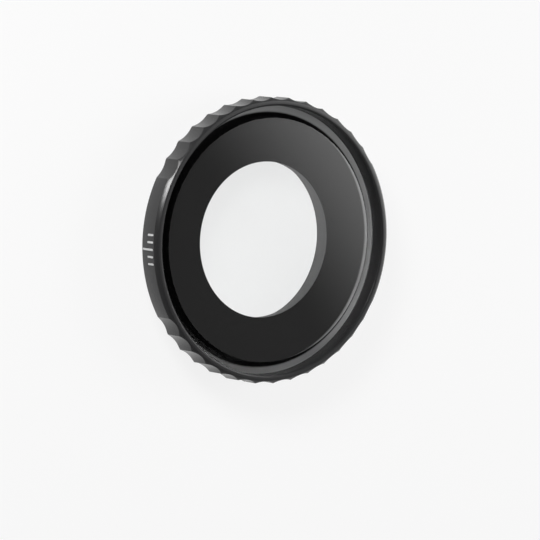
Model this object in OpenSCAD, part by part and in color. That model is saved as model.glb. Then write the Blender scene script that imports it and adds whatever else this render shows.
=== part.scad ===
// Twist-on protective filter for an action camera, lying on its mount with the glass upwards.
// +Z is the optical axis, towards the subject. The origin is on that axis, at the rear face.
// The index sector of the grip faces -Y.

/* [Grip ring] */
// Outer diameter over the crests of the grip
outer_d = 42; // [40:0.2:52]
// Width of the front chamfer on the grip band
front_chamfer = 0.5; // [0.2:0.05:0.7]
// Width of the rim, from the recess wall to the outside
rim_w = 1.25; // [1:0.05:1.6]
// Height that the rim stands above the glass
rim_h = 1.2; // [0.6:0.05:2]
// Width of the bevel on the inner edge of the rim
lip_bevel_w = 0.25; // [0.1:0.05:0.3]
// Depth of the bevel on the inner edge of the rim
lip_bevel_h = 0.12; // [0.05:0.01:0.4]
// Width of the back face of the grip band, outside the pilot
pilot_step = 0.75; // [0.6:0.05:0.95]
// Height of the pilot, from the back of the web to the back of the grip band
pilot_h = 0.8; // [0.6:0.05:1.4]
// Chamfer on the rear edge of the pilot
pilot_chamfer = 0.25; // [0.1:0.05:0.35]
// Thickness of the web that carries the glass
web_t = 0.65; // [0.5:0.05:0.9]
// Chamfer on the outer back edge of the grip band
back_chamfer = 0.15; // [0.05:0.05:0.25]

/* [Scallops] */
// Number of scallops on each side
scallop_count = 14; // [8:1:20]
// Depth of each scallop at its middle
scallop_depth = 0.36; // [0.25:0.02:0.5]
// Angle of each plain sector between the two groups of scallops
plain_sector = 57.5; // [30:0.5:90]
// Width of the land left on each crest
crest_land = 0.06; // [0.04:0.01:0.2]

/* [Glass] */
// Thickness of the cover glass
glass_t = 2.25; // [1.8:0.05:3]
// Width of the bevel on the front edge of the glass
glass_bevel_w = 1.8; // [0.5:0.1:2.4]
// Depth of the bevel on the front edge of the glass
glass_bevel_h = 1.06; // [0.3:0.02:1.4]
// Chamfer on the back edge of the glass
glass_edge_chamfer = 0.15; // [0.05:0.05:0.3]

/* [Mask and bond] */
// Diameter of the clear window
window_d = 22.85; // [16:0.05:23.2]
// Thickness of the black mask
mask_t = 0.1; // [0.05:0.01:0.2]
// Thickness of the adhesive ring
bond_t = 0.15; // [0.1:0.01:0.3]

/* [Mount ring] */
// Height of the mount ring behind the web
barrel_h = 3.35; // [3:0.05:4.2]
// Width of the web's back face, from the barrel to the pilot
ledge_w = 3.75; // [3.4:0.05:4.2]
// Wall thickness of the barrel
barrel_wall = 2.3; // [1.6:0.05:2.4]
// Chamfer on the rear edges of the barrel
barrel_chamfer = 0.3; // [0.1:0.05:0.4]
// Width of the collar that stops the barrel against the web
collar_w = 0.7; // [0.4:0.05:0.8]
// Height of the collar
collar_h = 0.65; // [0.5:0.05:0.8]

/* [Bayonet lugs] */
// Number of lugs
lug_count = 3; // [2:1:4]
// Reach of the lugs beyond the barrel
lug_reach = 1.1; // [0.6:0.05:1.4]
// Thickness of the lugs
lug_t = 1; // [0.7:0.05:1.2]
// Height of the lugs above the rear face
lug_z = 0.4; // [0.35:0.05:0.6]
// Angle that each lug takes up
lug_arc = 36; // [24:1:60]
// Length of the lead-in ramp on each lug
ramp_len = 3; // [1:0.1:4]
// Drop of the lead-in ramp
ramp_drop = 0.35; // [0.1:0.05:0.5]
// Angle that the stop at the far end of each lug takes up
stop_arc = 4; // [2:0.5:8]
// Height of the stop above its lug
stop_h = 0.6; // [0.2:0.05:0.7]

/* [Light baffle] */
// Thickness of the baffle's flange
flange_t = 0.8; // [0.5:0.05:0.9]
// Width of the baffle's flange seat in the mount ring
flange_seat = 1.2; // [0.6:0.05:1.3]
// Wall of the baffle round its widest step
baffle_wall = 1; // [0.7:0.05:1.1]
// Widening of the bore at each step
step_w = 0.3; // [0.1:0.02:0.32]
// Depth of the first step behind the glass
step_1 = 1.84; // [1.2:0.02:2]
// Depth of the second step behind the glass
step_2 = 2.82; // [2.2:0.02:3]
// Widening of the flare at the rear end of the bore
flare_w = 0.45; // [0.1:0.05:0.5]
// Depth of the flare at the rear end of the bore
flare_h = 0.55; // [0.2:0.05:0.7]

/* [Body seal] */
// Width of the seal
seal_w = 1.6; // [1:0.05:2]
// Thickness of the seal
seal_t = 0.6; // [0.4:0.05:0.8]
// Radius of the bead on the seal
bead_r = 0.3; // [0.15:0.05:0.35]

/* [Clearances] */
// Gap round the edge of the glass
glass_gap = 0.05; // [0.02:0.01:0.15]
// Gap round the edges of the mask and the adhesive
film_gap = 0.15; // [0.05:0.05:0.4]
// Gap between pieces that slip together
slip_gap = 0.05; // [0.03:0.01:0.1]
// Gap between the window's edge and the bore behind it
window_gap = 0.075; // [0.05:0.005:0.2]
// Height of the baffle's rear end above the rear face
baffle_lift = 0.1; // [0.05:0.05:0.3]

/* [Hidden] */
$fn = 180;

// Spare length of a cutting body beyond what it cuts
over = 1;
// Depth that a lug is rooted in the barrel
lug_root = 0.4;
// Chamfer on the edges of the lugs
lug_chamfer = 0.2;
// Width of the raised lip round the bore, which centres the adhesive ring
bore_lip_w = 1.3;

outer_r = outer_d / 2;
recess_r = outer_r - rim_w;
pilot_r = outer_r - pilot_step;
barrel_r = pilot_r - ledge_w;
barrel_bore_r = barrel_r - barrel_wall;
web_bore_r = barrel_r + slip_gap;
glass_r = recess_r - glass_gap;
film_r = recess_r - film_gap;
window_r = window_d / 2;
bore_r = window_r + window_gap;
sleeve_r = bore_r + 2 * step_w + baffle_wall;
flange_r = barrel_bore_r + flange_seat - slip_gap;
bore_lip_r = bore_r + bore_lip_w;
collar_r = barrel_r + collar_w;
lug_r = barrel_r + lug_reach;
seal_in_r = collar_r + slip_gap;
seal_out_r = seal_in_r + seal_w;
bead_mid_r = seal_in_r + seal_w / 2;

web_z = barrel_h;
seat_z = web_z + web_t;
mask_z = seat_z + bond_t;
glass_z = mask_z + mask_t;
face_z = glass_z + glass_t;
top_z = face_z + rim_h;
band_z = web_z + pilot_h;
band_h = top_z - band_z;
flange_z = seat_z - flange_t;

// Each scallop is a cylinder through the band, as wide as its share of the rim less one land
scallop_pitch = (180 - plain_sector) / scallop_count;
scallop_half = outer_r * sin(scallop_pitch / 2) - crest_land / 2;
scallop_sag = scallop_depth - outer_r * (1 - cos(scallop_pitch / 2));
cutter_r = (pow(scallop_half, 2) + pow(scallop_sag, 2)) / (2 * scallop_sag);
cutter_x = outer_r - scallop_depth + cutter_r;

module ring_blank() {
    rotate_extrude()
        polygon([
            [web_bore_r, web_z],
            [pilot_r - pilot_chamfer, web_z],
            [pilot_r, web_z + pilot_chamfer],
            [pilot_r, band_z],
            [outer_r - back_chamfer, band_z],
            [outer_r, band_z + back_chamfer],
            [outer_r, top_z - front_chamfer],
            [outer_r - front_chamfer, top_z],
            [recess_r + lip_bevel_w, top_z],
            [recess_r, top_z - lip_bevel_h],
            [recess_r, seat_z],
            [web_bore_r, seat_z]
        ]);
}

module scallop() {
    translate([cutter_x, 0, band_z - over])
        cylinder(r = cutter_r, h = band_h + 2 * over);
}

module grip_ring() {
    color([0.13, 0.13, 0.14])
        difference() {
            ring_blank();
            for (side = [0, 180], i = [0 : scallop_count - 1])
                rotate([0, 0, side + (i - (scallop_count - 1) / 2) * scallop_pitch])
                    scallop();
        }
}

module cover_glass() {
    color([0.75, 0.8, 0.82, 0.45])
        rotate_extrude()
            polygon([
                [0, glass_z],
                [glass_r - glass_edge_chamfer, glass_z],
                [glass_r, glass_z + glass_edge_chamfer],
                [glass_r, face_z - glass_bevel_h],
                [glass_r - glass_bevel_w, face_z],
                [0, face_z]
            ]);
}

module flat_ring(inner_r, ring_r, z, t) {
    translate([0, 0, z])
        difference() {
            cylinder(r = ring_r, h = t);
            translate([0, 0, -over])
                cylinder(r = inner_r, h = t + 2 * over);
        }
}

module mask_ring() {
    color([0.03, 0.03, 0.03])
        flat_ring(window_r, film_r, mask_z, mask_t);
}

module bond_ring() {
    color([0.2, 0.2, 0.2])
        flat_ring(bore_lip_r + slip_gap, film_r, seat_z, bond_t);
}

// Stepped sleeve that hangs by its flange, with its bore widening towards the rear
module light_baffle() {
    color([0.09, 0.09, 0.09])
        rotate_extrude()
            polygon([
                [bore_r, mask_z],
                [bore_r, glass_z - step_1],
                [bore_r + step_w, glass_z - step_1],
                [bore_r + step_w, glass_z - step_2],
                [bore_r + 2 * step_w, glass_z - step_2],
                [bore_r + 2 * step_w, baffle_lift + flare_h],
                [bore_r + 2 * step_w + flare_w, baffle_lift],
                [sleeve_r, baffle_lift],
                [sleeve_r, flange_z],
                [flange_r, flange_z],
                [flange_r, seat_z],
                [bore_lip_r, seat_z],
                [bore_lip_r, mask_z]
            ]);
}

module barrel() {
    rotate_extrude()
        polygon([
            [barrel_bore_r + barrel_chamfer, 0],
            [barrel_r - barrel_chamfer, 0],
            [barrel_r, barrel_chamfer],
            [barrel_r, web_z - collar_h],
            [collar_r, web_z - collar_h],
            [collar_r, web_z],
            [barrel_r, web_z],
            [barrel_r, seat_z],
            [barrel_bore_r + flange_seat, seat_z],
            [barrel_bore_r + flange_seat, flange_z],
            [barrel_bore_r, flange_z],
            [barrel_bore_r, barrel_chamfer]
        ]);
}

// One lug with a stop at its near end and a lead-in ramp at its far end
module lug() {
    difference() {
        union() {
            rotate_extrude(angle = lug_arc)
                polygon([
                    [barrel_r - lug_root, lug_z],
                    [lug_r - lug_chamfer, lug_z],
                    [lug_r, lug_z + lug_chamfer],
                    [lug_r, lug_z + lug_t],
                    [barrel_r - lug_root, lug_z + lug_t]
                ]);
            rotate_extrude(angle = stop_arc)
                translate([barrel_r - lug_root, lug_z + lug_t / 2])
                    square([lug_root + lug_reach - lug_chamfer, lug_t / 2 + stop_h]);
        }
        rotate([0, 0, lug_arc])
            translate([barrel_r - lug_root - over, -ramp_len, lug_z + lug_t])
                rotate([-atan(ramp_drop / ramp_len), 0, 0])
                    cube([lug_root + lug_reach + 2 * over, 2 * ramp_len, lug_t]);
    }
}

module mount_ring() {
    color([0.16, 0.16, 0.17])
        union() {
            barrel();
            for (i = [0 : lug_count - 1])
                rotate([0, 0, i * 360 / lug_count - lug_arc / 2 + 90])
                    lug();
        }
}

module body_seal() {
    color([0.06, 0.06, 0.06])
        rotate_extrude()
            union() {
                translate([seal_in_r, web_z - seal_t])
                    square([seal_out_r - seal_in_r, seal_t]);
                translate([bead_mid_r, web_z - seal_t])
                    circle(r = bead_r, $fn = 32);
            }
}

grip_ring();
cover_glass();
mask_ring();
bond_ring();
light_baffle();
mount_ring();
body_seal();
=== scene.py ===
"""Looks of a twist-on protective filter for an action camera, lying on its mount with the glass up."""
import math

import bpy
import mathutils
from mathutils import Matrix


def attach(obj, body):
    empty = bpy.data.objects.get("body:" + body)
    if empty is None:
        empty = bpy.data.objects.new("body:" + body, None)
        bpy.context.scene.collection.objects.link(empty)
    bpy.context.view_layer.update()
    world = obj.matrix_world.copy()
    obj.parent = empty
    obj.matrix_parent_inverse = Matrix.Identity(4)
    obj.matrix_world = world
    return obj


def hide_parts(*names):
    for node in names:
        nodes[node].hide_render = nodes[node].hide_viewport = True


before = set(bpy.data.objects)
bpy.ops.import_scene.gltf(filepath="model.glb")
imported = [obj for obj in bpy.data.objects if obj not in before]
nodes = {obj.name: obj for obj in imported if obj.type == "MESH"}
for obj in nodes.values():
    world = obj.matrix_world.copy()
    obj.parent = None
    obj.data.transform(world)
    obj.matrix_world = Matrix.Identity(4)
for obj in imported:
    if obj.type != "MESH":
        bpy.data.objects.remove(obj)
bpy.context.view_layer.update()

# Grip ring. Lengths are in metres, and heights are measured from the floor.
OUTER_R = 0.021
RECESS_R = 0.01975
PILOT_R = 0.02025
WEB_BORE_R = 0.01655
WEB_Z = 0.00335
SEAT_Z = 0.004
BAND_Z = 0.00415
GLASS_Z = 0.00425
FACE_Z = 0.0065
TOP_Z = 0.0077
FRONT_CHAMFER = 0.0005
BACK_CHAMFER = 0.00015
PILOT_CHAMFER = 0.00025
LIP_BEVEL_W = 0.00025
LIP_BEVEL_H = 0.00012

# Scallops, in two groups on the left and right of the index
SCALLOP_COUNT = 14
SCALLOP_DEPTH = 0.00036
PLAIN_SECTOR = math.radians(57.5)
CREST_LAND = 0.00006
SCALLOP_PITCH = (math.pi - PLAIN_SECTOR) / SCALLOP_COUNT
SCALLOP_HALF = OUTER_R * math.sin(SCALLOP_PITCH / 2) - CREST_LAND / 2
SCALLOP_SAG = SCALLOP_DEPTH - OUTER_R * (1 - math.cos(SCALLOP_PITCH / 2))
CUTTER_R = (SCALLOP_HALF ** 2 + SCALLOP_SAG ** 2) / (2 * SCALLOP_SAG)
CUTTER_X = OUTER_R - SCALLOP_DEPTH + CUTTER_R

# Cover glass
GLASS_R = 0.0197
GLASS_BEVEL_W = 0.0018
GLASS_BEVEL_H = 0.00106
GLASS_EDGE_CHAMFER = 0.00015
GLASS_HUB_R = 0.0005

# Light baffle
BORE_R = 0.0115
STEP_W = 0.0003
STEP_1_Z = GLASS_Z - 0.00184
STEP_2_Z = GLASS_Z - 0.00282
FLARE_W = 0.00045
FLARE_H = 0.00055
BAFFLE_Z = 0.0001
SLEEVE_R = 0.0131
FLANGE_R = 0.01535
FLANGE_Z = 0.0032
BORE_LIP_R = 0.0128
MASK_Z = 0.00415

# Mask, set a hair into the glass, as print is. Its black fades between two radii, short of its outer edge,
# to a pale grey band: a painted reflection that stands in for the glass bevel's bright reflection.
WINDOW_R = 0.011425
MASK_R = 0.0196
INK_SUNK = 0.00001
# Painted reflection: the radii where the black fades, and the pale grey painted beyond them
REFLECTION_BAND_RADII = (0.0182, 0.0185)
BEVEL_REFLECTION_GREY = (0.3, 0.3, 0.3, 1)

# Body seal
SEAL_IN_R = 0.01725
SEAL_OUT_R = 0.01885
SEAL_Z = WEB_Z - 0.0006
BEAD_R = 0.0003
BEAD_STEPS = 16

# Small radii that every machined or moulded edge has, and the most that one takes of a side
EDGE = 0.00005
SOFT_EDGE = 0.00008
SIDE_SHARE = 0.45

# Columns round a turned piece, in one scallop and in one plain sector
SEGMENTS = 256
IN_SCALLOP = 20
IN_SECTOR = 48

# Angles in degrees up to which faces that meet are shaded as one surface
TURNED_SMOOTH = 35
BAND_SMOOTH = 14
GLASS_SMOOTH = 20

# Index strokes on the plain sector that faces -Y
STROKE_COUNT = 5
STROKE_PITCH = math.radians(2.9)
STROKE_W = 0.0003
STROKE_LONG = 0.00255
STROKE_SHORT = 0.0014
STROKE_TOP_Z = 0.007
STROKE_PROUD = 0.00001
STROKE_SUNK = 0.00003
STROKE_END_STEPS = 8

# Camera, at the photograph's viewing angle
VIEW_TILT = math.radians(36.3)
VIEW_ROLL = math.radians(8.11)
VIEW_AZIMUTH = math.radians(79.5)
VIEW_DISTANCE = 0.7306
METRES_PER_PIXEL = 0.00014612
SENSOR_MM = 36
IMAGE_PIXELS = 540
DISC_PIXEL_X = 269.32
DISC_PIXEL_Y = 240.28

# Floor: half its width, its grey, and the share of white that the camera, gloss and glass see in it
FLOOR_HALF = 6
FLOOR_GREY = 0.9
FLOOR_GLOW = 0.85

# World: the height in the sky, 0 at the horizon and 1 overhead, and the grey at each end of its fade
SKY_STOPS = ((0.1, 0.4), (0.6, 0.02))

# Share of a lamp's width and height over which its edges fade out
LAMP_FADE = 0.3


def new_object(name, verts, faces):
    mesh = bpy.data.meshes.new(name)
    mesh.from_pydata(verts, [], faces)
    mesh.validate()
    mesh.update()
    obj = bpy.data.objects.new(name, mesh)
    bpy.context.scene.collection.objects.link(obj)
    return obj


def smooth_by_angle(obj, degrees):
    obj.data.polygons.foreach_set("use_smooth", [True] * len(obj.data.polygons))
    obj.data.set_sharp_from_angle(angle=math.radians(degrees))


def fillet(points, radius, steps=3):
    """Rounds the corners of a closed profile: each corner becomes steps + 1 points of an arc."""
    out = []
    count = len(points)
    for i in range(count):
        corner = mathutils.Vector(points[i])
        before = mathutils.Vector(points[i - 1]) - corner
        after = mathutils.Vector(points[(i + 1) % count]) - corner
        half = before.angle(after) / 2
        reach = min(radius / math.tan(half), before.length * SIDE_SHARE, after.length * SIDE_SHARE)
        start = corner + before.normalized() * reach
        end = corner + after.normalized() * reach
        for s in range(steps + 1):
            t = s / steps
            out.append(start * (1 - t) ** 2 + corner * 2 * t * (1 - t) + end * t ** 2)
    return out


def lathe(name, columns, angles):
    """A closed ring of matching profiles, one for each angle round the axis."""
    verts = []
    faces = []
    rows = len(columns[0])
    for column, angle in zip(columns, angles):
        cos_a, sin_a = math.cos(angle), math.sin(angle)
        verts.extend((p[0] * cos_a, p[0] * sin_a, p[1]) for p in column)
    for i in range(len(angles)):
        here, there = i * rows, (i + 1) % len(angles) * rows
        for j in range(rows):
            k = (j + 1) % rows
            faces.append((here + j, there + j, there + k, here + k))
    return new_object(name, verts, faces)


def turned(name, points, radius, steps=3):
    """A turned piece: one filleted profile all round."""
    column = fillet(points, radius, steps)
    angles = [2 * math.pi * i / SEGMENTS for i in range(SEGMENTS)]
    obj = lathe(name, [column] * SEGMENTS, angles)
    smooth_by_angle(obj, TURNED_SMOOTH)
    return obj


def scallop_radius(angle):
    """Radius of the band's side at an angle: the ring, or the scallop that cuts it there."""
    side = math.pi if math.cos(angle) < 0 else 0
    local = math.remainder(angle - side, 2 * math.pi)
    place = local / SCALLOP_PITCH + (SCALLOP_COUNT - 1) / 2
    index = min(max(round(place), 0), SCALLOP_COUNT - 1)
    delta = (place - index) * SCALLOP_PITCH
    offset = CUTTER_X * math.sin(delta)
    if abs(offset) >= CUTTER_R:
        return OUTER_R
    cut = CUTTER_X * math.cos(delta) - math.sqrt(CUTTER_R ** 2 - offset ** 2)
    return min(OUTER_R, cut)


def ring_angles():
    """Angles of the ring's columns: closer in the scallops, with one on every crest's edges."""
    edge = math.asin(SCALLOP_HALF / OUTER_R)
    angles = []
    for side in (0, math.pi):
        for i in range(SCALLOP_COUNT):
            centre = side + (i - (SCALLOP_COUNT - 1) / 2) * SCALLOP_PITCH
            for s in range(IN_SCALLOP + 1):
                angles.append(centre + edge * (2 * s / IN_SCALLOP - 1))
        first = side + SCALLOP_COUNT / 2 * SCALLOP_PITCH
        for s in range(1, IN_SECTOR):
            angles.append(first + PLAIN_SECTOR * s / IN_SECTOR)
    return angles


def ring_column(side_r):
    """The ring's profile where the band's side has this radius: a cut side leaves an arch in the chamfer."""
    chamfer_z = TOP_Z - FRONT_CHAMFER + (OUTER_R - side_r)
    back_r = OUTER_R - BACK_CHAMFER
    back_rise = max(side_r - back_r, EDGE)
    points = [
        (WEB_BORE_R, WEB_Z),
        (PILOT_R - PILOT_CHAMFER, WEB_Z),
        (PILOT_R, WEB_Z + PILOT_CHAMFER),
        (PILOT_R, BAND_Z),
        (side_r - back_rise, BAND_Z),
        (side_r, BAND_Z + back_rise),
        (side_r, chamfer_z),
        (OUTER_R - FRONT_CHAMFER, TOP_Z),
        (RECESS_R + LIP_BEVEL_W, TOP_Z),
        (RECESS_R, TOP_Z - LIP_BEVEL_H),
        (RECESS_R, SEAT_Z),
        (WEB_BORE_R, SEAT_Z),
    ]
    return fillet(points, EDGE, 2)


def make_grip_ring():
    angles = ring_angles()
    obj = lathe("grip_ring_turned", [ring_column(scallop_radius(a)) for a in angles], angles)
    smooth_by_angle(obj, BAND_SMOOTH)
    return obj


def make_glass():
    """The glass is a disc, so its profile starts and ends on a small circle that two caps close."""
    corner_steps = 4
    per_corner = corner_steps + 1
    points = [
        (GLASS_HUB_R, GLASS_Z),
        (GLASS_R - GLASS_EDGE_CHAMFER, GLASS_Z),
        (GLASS_R, GLASS_Z + GLASS_EDGE_CHAMFER),
        (GLASS_R, FACE_Z - GLASS_BEVEL_H),
        (GLASS_R - GLASS_BEVEL_W, FACE_Z),
        (GLASS_HUB_R, FACE_Z),
    ]
    rounded = fillet(points, EDGE, corner_steps)[per_corner:-per_corner]
    column = [points[0], *rounded, points[-1]]
    rows = len(column)
    verts = []
    faces = []
    for i in range(SEGMENTS):
        angle = 2 * math.pi * i / SEGMENTS
        verts.extend((p[0] * math.cos(angle), p[0] * math.sin(angle), p[1]) for p in column)
        here, there = i * rows, (i + 1) % SEGMENTS * rows
        for j in range(rows - 1):
            faces.append((here + j, there + j, there + j + 1, here + j + 1))
    faces.append(tuple(i * rows for i in reversed(range(SEGMENTS))))
    faces.append(tuple(i * rows + rows - 1 for i in range(SEGMENTS)))
    obj = new_object("cover_glass_polished", verts, faces)
    smooth_by_angle(obj, GLASS_SMOOTH)
    return obj


def make_baffle():
    wide_r = BORE_R + 2 * STEP_W
    points = [
        (BORE_R, MASK_Z),
        (BORE_R, STEP_1_Z),
        (BORE_R + STEP_W, STEP_1_Z),
        (BORE_R + STEP_W, STEP_2_Z),
        (wide_r, STEP_2_Z),
        (wide_r, BAFFLE_Z + FLARE_H),
        (wide_r + FLARE_W, BAFFLE_Z),
        (SLEEVE_R, BAFFLE_Z),
        (SLEEVE_R, FLANGE_Z),
        (FLANGE_R, FLANGE_Z),
        (FLANGE_R, SEAT_Z),
        (BORE_LIP_R, SEAT_Z),
        (BORE_LIP_R, MASK_Z),
    ]
    return turned("light_baffle_moulded", points, EDGE)


def make_mask():
    points = [
        (WINDOW_R, MASK_Z),
        (MASK_R, MASK_Z),
        (MASK_R, GLASS_Z + INK_SUNK),
        (WINDOW_R, GLASS_Z + INK_SUNK),
    ]
    return turned("mask_ring_printed", points, INK_SUNK, 1)


def make_seal():
    middle = (SEAL_IN_R + SEAL_OUT_R) / 2
    bead_angles = [math.pi * s / BEAD_STEPS for s in reversed(range(BEAD_STEPS + 1))]
    bead = [(middle + BEAD_R * math.cos(a), SEAL_Z - BEAD_R * math.sin(a)) for a in bead_angles]
    points = [(SEAL_IN_R, WEB_Z), (SEAL_IN_R, SEAL_Z), *bead, (SEAL_OUT_R, SEAL_Z), (SEAL_OUT_R, WEB_Z)]
    return turned("body_seal_moulded", points, SOFT_EDGE, 1)


def make_stroke(index, angle, height):
    """A filled groove: a strip with round ends, bent round the band."""
    half_w = STROKE_W / 2
    outline = []
    for end, middle_z in ((0, STROKE_TOP_Z - half_w), (math.pi, STROKE_TOP_Z - height + half_w)):
        for s in range(STROKE_END_STEPS + 1):
            a = end + math.pi * s / STROKE_END_STEPS
            outline.append((half_w * math.cos(a), middle_z + half_w * math.sin(a)))
    verts = []
    for r in (OUTER_R - STROKE_SUNK, OUTER_R + STROKE_PROUD):
        for x, z in outline:
            a = angle + x / OUTER_R
            verts.append((r * math.cos(a), r * math.sin(a), z))
    n = len(outline)
    faces = [tuple(range(n))[::-1], tuple(range(n, 2 * n))]
    for i in range(n):
        k = (i + 1) % n
        faces.append((i, k, n + k, n + i))
    return new_object(f"index_stroke_{index}", verts, faces)


def new_material(name):
    """A new material, with its node tree and its Principled shader."""
    material = bpy.data.materials.new(name)
    material.use_nodes = True
    tree = material.node_tree
    return material, tree, tree.nodes["Principled BSDF"]


def add(tree, kind, **values):
    """Adds a node. A value goes to the input of that name, or else to the node's own setting."""
    node = tree.nodes.new(kind)
    for key, value in values.items():
        socket = node.inputs.get(key.replace("_", " "))
        if socket is not None:
            socket.default_value = value
        else:
            setattr(node, key, value)
    return node


def grain(tree, shader, scale, distance, strength, low, high):
    """Fine surface grain: a bump, and a roughness from low to high that varies with it."""
    coords = add(tree, "ShaderNodeTexCoord")
    noise = add(tree, "ShaderNodeTexNoise", Scale=scale, Detail=3.0, Roughness=0.6)
    spread = add(tree, "ShaderNodeMapRange", To_Min=low, To_Max=high)
    bump = add(tree, "ShaderNodeBump", Distance=distance, Strength=strength)
    link = tree.links.new
    link(coords.outputs["Object"], noise.inputs["Vector"])
    link(noise.outputs["Fac"], spread.inputs["Value"])
    link(spread.outputs["Result"], shader.inputs["Roughness"])
    link(noise.outputs["Fac"], bump.inputs["Height"])
    link(bump.outputs["Normal"], shader.inputs["Normal"])
    return noise


def tint(tree, shader, noise, dark, light):
    """Base colour that varies a little between two greys."""
    mix = tree.nodes.new("ShaderNodeMix")
    mix.data_type = "RGBA"
    mix.inputs["A"].default_value = (*dark, 1)
    mix.inputs["B"].default_value = (*light, 1)
    tree.links.new(noise.outputs["Fac"], mix.inputs["Factor"])
    tree.links.new(mix.outputs["Result"], shader.inputs["Base Color"])


def anodised():
    material, tree, shader = new_material("black_anodised")
    shader.inputs["Specular IOR Level"].default_value = 0.4
    noise = grain(tree, shader, scale=9000, distance=0.00001, strength=0.3, low=0.2, high=0.28)
    tint(tree, shader, noise, (0.022, 0.022, 0.0225), (0.034, 0.034, 0.035))
    return material


def polished_glass():
    """Clear glass that lets the lamps through to what lies behind it."""
    material, tree, shader = new_material("cover_glass")
    shader.inputs["Roughness"].default_value = 0
    shader.inputs["Transmission Weight"].default_value = 1
    shader.inputs["IOR"].default_value = 1.5
    coords = add(tree, "ShaderNodeTexCoord")
    noise = add(tree, "ShaderNodeTexNoise", Scale=120.0, Detail=2.0)
    light_path = add(tree, "ShaderNodeLightPath")
    clear = add(tree, "ShaderNodeBsdfTransparent", Color=(0.93, 0.94, 0.94, 1))
    mix = add(tree, "ShaderNodeMixShader")
    link = tree.links.new
    link(coords.outputs["Object"], noise.inputs["Vector"])
    tint(tree, shader, noise, (0.895, 0.9, 0.9), (0.905, 0.91, 0.91))
    link(light_path.outputs["Is Shadow Ray"], mix.inputs[0])
    link(shader.outputs["BSDF"], mix.inputs[1])
    link(clear.outputs["BSDF"], mix.inputs[2])
    link(mix.outputs["Shader"], tree.nodes["Material Output"].inputs["Surface"])
    return material


def mask_ink():
    """Black ink in contact with the glass, turning to a pale grey band beyond a radius near its outer edge:
    a painted reflection for the glass bevel.
    """
    material, tree, shader = new_material("mask")
    shader.inputs["Specular IOR Level"].default_value = 0
    noise = grain(tree, shader, scale=2500, distance=0.000002, strength=0.1, low=0.4, high=0.5)
    tint(tree, shader, noise, (0.0015, 0.0015, 0.0016), (0.0025, 0.0025, 0.0026))
    ink = shader.inputs["Base Color"].links[0].from_socket
    coords = add(tree, "ShaderNodeTexCoord")
    flat = add(tree, "ShaderNodeVectorMath", operation="MULTIPLY")
    flat.inputs[1].default_value = (1, 1, 0)
    radius = add(tree, "ShaderNodeVectorMath", operation="LENGTH")
    # Painted reflection: beyond these radii the mask's black turns pale grey, in place of the bevel's
    # reflection
    edge = add(tree, "ShaderNodeMapRange", From_Min=REFLECTION_BAND_RADII[0], From_Max=REFLECTION_BAND_RADII[1])
    mix = tree.nodes.new("ShaderNodeMix")
    mix.data_type = "RGBA"
    mix.inputs["B"].default_value = BEVEL_REFLECTION_GREY
    link = tree.links.new
    link(coords.outputs["Object"], flat.inputs[0])
    link(flat.outputs["Vector"], radius.inputs[0])
    link(radius.outputs["Value"], edge.inputs["Value"])
    link(edge.outputs["Result"], mix.inputs["Factor"])
    link(ink, mix.inputs["A"])
    link(mix.outputs["Result"], shader.inputs["Base Color"])
    return material


def matt(name, dark, light, low, high):
    """Moulded plastic, rubber or adhesive: fine grain, two greys and a roughness from low to high."""
    material, tree, shader = new_material(name)
    noise = grain(tree, shader, scale=7000, distance=0.00001, strength=0.4, low=low, high=high)
    tint(tree, shader, noise, dark, light)
    return material


def white_fill():
    material, tree, shader = new_material("index_fill")
    noise = grain(tree, shader, scale=5000, distance=0.000005, strength=0.2, low=0.5, high=0.65)
    tint(tree, shader, noise, (0.55, 0.55, 0.55), (0.65, 0.65, 0.65))
    return material


def give(obj, material):
    obj.data.materials.clear()
    obj.data.materials.append(material)


def dress():
    """Builds the pieces, hides the nodes that they stand for, and gives every surface its material."""
    black = anodised()
    baffle_black = matt("baffle", (0.02, 0.02, 0.021), (0.035, 0.035, 0.036), low=0.5, high=0.65)
    barrel_black = matt("barrel", (0.025, 0.025, 0.026), (0.04, 0.04, 0.042), low=0.42, high=0.55)
    rubber = matt("seal", (0.018, 0.018, 0.018), (0.03, 0.03, 0.03), low=0.6, high=0.75)
    adhesive = matt("adhesive", (0.04, 0.04, 0.04), (0.06, 0.06, 0.06), low=0.6, high=0.7)
    pieces = (
        (make_grip_ring(), "grip_ring", "black_anodised", black),
        (make_glass(), "cover_glass", "cover_glass", polished_glass()),
        (make_mask(), "mask_ring", "mask", mask_ink()),
        (make_baffle(), "light_baffle", "baffle", baffle_black),
        (make_seal(), "body_seal", "seal", rubber),
    )
    for obj, node, slot, material in pieces:
        give(obj, material)
        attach(obj, "root")
        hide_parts(node)
    give(nodes["bond_ring"], adhesive)
    give(nodes["mount_ring"], barrel_black)
    fill = white_fill()
    for i in range(STROKE_COUNT):
        place = i - (STROKE_COUNT - 1) / 2
        height = STROKE_LONG if place == 0 else STROKE_SHORT
        stroke = make_stroke(i + 1, -math.pi / 2 + place * STROKE_PITCH, height)
        give(stroke, fill)
        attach(stroke, "root")


def face_vector(values):
    """A vector from its parts across and up the ring's face, as the photograph shows it, and out of it."""
    across = mathutils.Vector((math.cos(VIEW_AZIMUTH), math.sin(VIEW_AZIMUTH), 0))
    along = mathutils.Vector((-math.sin(VIEW_AZIMUTH), math.cos(VIEW_AZIMUTH), 0))
    return across * values[0] + along * values[1] + mathutils.Vector((0, 0, values[2]))


def placed(place, right, up, back):
    """The matrix of an object at a place, with its X, Y and Z axes along three directions."""
    turn = mathutils.Matrix((right, up, back)).transposed()
    return mathutils.Matrix.Translation(place) @ turn.to_4x4()


def view_axes():
    """The photograph's right, up and towards-the-viewer directions, in the object's frame."""
    across = face_vector((1, 0, 0))
    along = face_vector((0, 1, 0))
    axis = face_vector((0, 0, 1))
    lean = across * math.cos(VIEW_TILT) + axis * math.sin(VIEW_TILT)
    right = lean * math.cos(VIEW_ROLL) + along * math.sin(VIEW_ROLL)
    up = -lean * math.sin(VIEW_ROLL) + along * math.cos(VIEW_ROLL)
    back = axis * math.cos(VIEW_TILT) - across * math.sin(VIEW_TILT)
    return right, up, back


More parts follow.
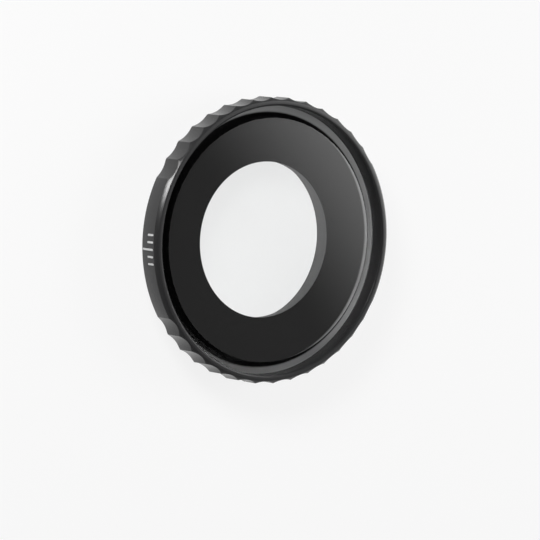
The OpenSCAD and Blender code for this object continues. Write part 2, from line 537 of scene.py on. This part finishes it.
def make_camera():
    right, up, back = view_axes()
    off_x = (DISC_PIXEL_X - IMAGE_PIXELS / 2) * METRES_PER_PIXEL
    off_y = (IMAGE_PIXELS / 2 - DISC_PIXEL_Y) * METRES_PER_PIXEL
    data = bpy.data.cameras.new("camera")
    data.sensor_width = SENSOR_MM
    data.lens = SENSOR_MM * VIEW_DISTANCE / (IMAGE_PIXELS * METRES_PER_PIXEL)
    data.clip_start = 0.05
    data.clip_end = 50
    camera = bpy.data.objects.new("camera", data)
    place = mathutils.Vector((0, 0, FACE_Z)) - right * off_x - up * off_y + back * VIEW_DISTANCE
    camera.matrix_world = placed(place, right, up, back)
    bpy.context.scene.collection.objects.link(camera)
    bpy.context.scene.camera = camera


def combine(tree, operation, first, second):
    """The output of a math node on two outputs."""
    node = add(tree, "ShaderNodeMath", operation=operation)
    tree.links.new(first, node.inputs[0])
    tree.links.new(second, node.inputs[1])
    return node.outputs["Value"]


def make_floor():
    """A pale floor that reads as white to the eye, in reflections and through glass, and keeps shadows."""
    signs = ((-1, -1), (1, -1), (1, 1), (-1, 1))
    corners = [(x * FLOOR_HALF, y * FLOOR_HALF, 0) for x, y in signs]
    floor = new_object("floor", corners, [(0, 1, 2, 3)])
    material = bpy.data.materials.new("floor")
    material.use_nodes = True
    tree = material.node_tree
    tree.nodes.clear()
    out = add(tree, "ShaderNodeOutputMaterial")
    mix = add(tree, "ShaderNodeMixShader")
    diffuse = add(tree, "ShaderNodeBsdfDiffuse", Color=(FLOOR_GREY, FLOOR_GREY, FLOOR_GREY, 1))
    emission = add(tree, "ShaderNodeEmission", Color=(1, 1, 1, 1), Strength=1.0)
    path = add(tree, "ShaderNodeLightPath")
    seen = combine(tree, "MAXIMUM", path.outputs["Is Camera Ray"], path.outputs["Is Glossy Ray"])
    seen = combine(tree, "MAXIMUM", seen, path.outputs["Is Transmission Ray"])
    share = add(tree, "ShaderNodeMath", operation="MULTIPLY")
    share.inputs[1].default_value = FLOOR_GLOW
    link = tree.links.new
    link(seen, share.inputs[0])
    link(share.outputs["Value"], mix.inputs[0])
    link(diffuse.outputs["BSDF"], mix.inputs[1])
    link(emission.outputs["Emission"], mix.inputs[2])
    link(mix.outputs["Shader"], out.inputs["Surface"])
    give(floor, material)


def ramp(tree, source, start, end, low=0.0):
    """A smooth rise of the source's value, from low at the start to 1 at the end."""
    rise = add(tree, "ShaderNodeMapRange", From_Min=start, From_Max=end, To_Min=low)
    rise.interpolation_type = "SMOOTHSTEP"
    tree.links.new(source, rise.inputs["Value"])
    return rise.outputs["Result"]


def make_lamp(name, towards, radiance, distance, width, height, turn, rise, low=0.0):
    """A rectangle that faces the ring: it fades in from low over the span rise of its width, which runs
    along turn, and fades out at its other three edges."""
    towards = face_vector(towards).normalized()
    x = face_vector(turn)
    x = (x - towards * x.dot(towards)).normalized()
    y = towards.cross(x)
    data = bpy.data.lights.new(name, "AREA")
    data.shape = "RECTANGLE"
    data.size = width
    data.size_y = height
    data.energy = radiance * width * height * math.pi
    data.use_nodes = True
    tree = data.node_tree
    place = add(tree, "ShaderNodeNewGeometry")
    split = add(tree, "ShaderNodeSeparateXYZ")
    tree.links.new(place.outputs["Parametric"], split.inputs["Vector"])
    share_x, share_y = split.outputs["X"], split.outputs["Y"]
    fade_in = ramp(tree, share_x, rise[0], rise[1], low)
    fade_x = combine(tree, "MULTIPLY", fade_in, ramp(tree, share_x, 1, 1 - LAMP_FADE))
    low_edge = ramp(tree, share_y, 0, LAMP_FADE)
    fade_y = combine(tree, "MULTIPLY", low_edge, ramp(tree, share_y, 1, 1 - LAMP_FADE))
    shape = combine(tree, "MULTIPLY", fade_x, fade_y)
    tree.links.new(shape, tree.nodes["Emission"].inputs["Strength"])
    lamp = bpy.data.objects.new(name, data)
    spot = mathutils.Vector((0, 0, FACE_Z)) + towards * distance
    lamp.matrix_world = placed(spot, x, y, towards)
    bpy.context.scene.collection.objects.link(lamp)
    return lamp


def link_mask(lamp, state):
    """Makes a lamp light the mask alone, with state INCLUDE, or all but the mask, with state EXCLUDE."""
    group = bpy.data.collections.new(lamp.name + "_group")
    group.objects.link(bpy.data.objects["mask_ring_printed"])
    group.collection_objects[0].light_linking.link_state = state
    lamp.light_linking.receiver_collection = group


def make_world():
    """Brighter near the horizon and dark overhead, as in a light tent with an open top."""
    world = bpy.data.worlds.new("world")
    bpy.context.scene.world = world
    world.use_nodes = True
    tree = world.node_tree
    background = tree.nodes["Background"]
    coords = add(tree, "ShaderNodeTexCoord")
    split = add(tree, "ShaderNodeSeparateXYZ")
    shade = add(tree, "ShaderNodeValToRGB")
    for stop, (height, grey) in zip(shade.color_ramp.elements, SKY_STOPS):
        stop.position = height
        stop.color = (grey, grey, grey, 1)
    link = tree.links.new
    link(coords.outputs["Generated"], split.inputs["Vector"])
    link(split.outputs["Z"], shade.inputs["Fac"])
    link(shade.outputs["Color"], background.inputs["Color"])


def make_lamps():
    """One broad lamp that the glass mirrors, one for the left of the ring, and one that lights only the
    mask, for its painted reflection band.
    """
    broad = {"distance": 0.2, "width": 0.2, "height": 0.18, "turn": (0.76, 0.65, 0), "rise": (0.23, 0.57)}
    small = {"distance": 0.3, "width": 0.12, "height": 0.12, "turn": (1, 0, 0), "rise": (0, LAMP_FADE)}
    lamp_glass = make_lamp("lamp_glass", (0.72, 0.162, 0.676), 4.2, low=0.1, **broad)
    lamp_left = make_lamp("lamp_left", (-0.71, 0.4, 0.56), 30, **small)
    lamp_edge = make_lamp("lamp_edge", (-0.65, -0.7, 0.45), 40, **small)
    link_mask(lamp_glass, "EXCLUDE")
    link_mask(lamp_left, "EXCLUDE")
    link_mask(lamp_edge, "INCLUDE")


make_camera()
dress()
make_floor()
make_world()
make_lamps()
bpy.context.scene.view_settings.view_transform = "Standard"
